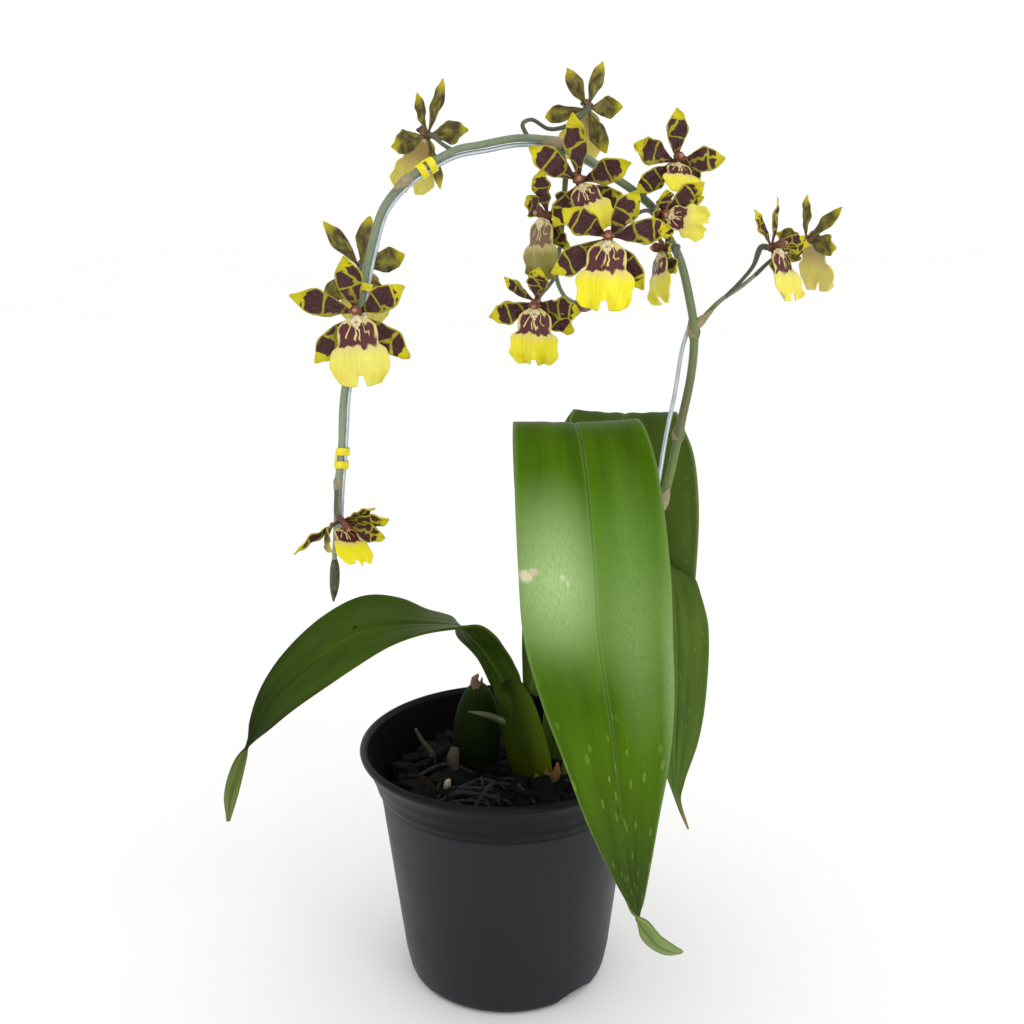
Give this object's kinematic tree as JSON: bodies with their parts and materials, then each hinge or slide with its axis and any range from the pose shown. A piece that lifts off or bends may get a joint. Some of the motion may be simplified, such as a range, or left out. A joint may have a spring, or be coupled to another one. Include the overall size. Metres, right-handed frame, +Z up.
{
  "type": "potted oncidium orchid",
  "caption": "Orchid in a flared nursery pot: broad arching strap leaves and a wired, arching flower spike with brown and yellow blooms.",
  "frame": {"origin": "centre of the pot's flat base, on the surface that it stands on", "axes": "+Z up along the pot's axis, -Y toward the side that the large leaf droops down, +X toward the side of the spike's foot"},
  "size_m": [0.2547, 0.1596, 0.3999],
  "materials": {
    "pot_plastic": "black moulded plastic, satin",
    "bark": "damp dark bark and charcoal chunks",
    "dry_stick": "dry, matt",
    "bulb_old": "smooth, waxy, dark green",
    "bulb_new": "smooth, waxy, yellow green",
    "leaf": "smooth, waxy, fine lengthwise grain",
    "spike": "smooth green stem, satin",
    "wire": "white coated wire, satin",
    "tie": "flat yellow strap, satin",
    "tepals": "satin petals, dark brown with yellow bands and tips",
    "lip": "satin petal, lemon yellow with a maroon base"
  },
  "bodies": {
    "root": {"pot": "pot_plastic", "growing_medium": "bark", "dry_stick": "dry_stick", "pseudobulb_old": "bulb_old", "pseudobulb_new": "bulb_new", "leaf_left": "leaf", "leaf_front": "leaf", "leaf_back": "leaf", "leaf_right": "leaf", "flower_spike": "spike", "support_wire": "wire", "tie_upper": "tie", "tie_middle": "tie", "tie_lower": "tie", "bloom_01_tepals": "tepals", "bloom_01_lip": "lip", "bloom_02_tepals": "tepals", "bloom_02_lip": "lip", "bloom_03_tepals": "tepals", "bloom_03_lip": "lip", "bloom_04_tepals": "tepals", "bloom_04_lip": "lip", "bloom_05_tepals": "tepals", "bloom_05_lip": "lip", "bloom_06_tepals": "tepals", "bloom_06_lip": "lip", "bloom_07_tepals": "tepals", "bloom_07_lip": "lip", "bloom_08_tepals": "tepals", "bloom_08_lip": "lip", "bloom_09_tepals": "tepals", "bloom_09_lip": "lip", "bloom_10_tepals": "tepals", "bloom_10_lip": "lip", "bloom_11_tepals": "tepals", "bloom_11_lip": "lip", "bloom_12_tepals": "tepals", "bloom_12_lip": "lip", "bloom_13_tepals": "tepals", "bloom_13_lip": "lip", "bloom_14_tepals": "tepals", "bloom_14_lip": "lip"}
  },
  "joints": []
}
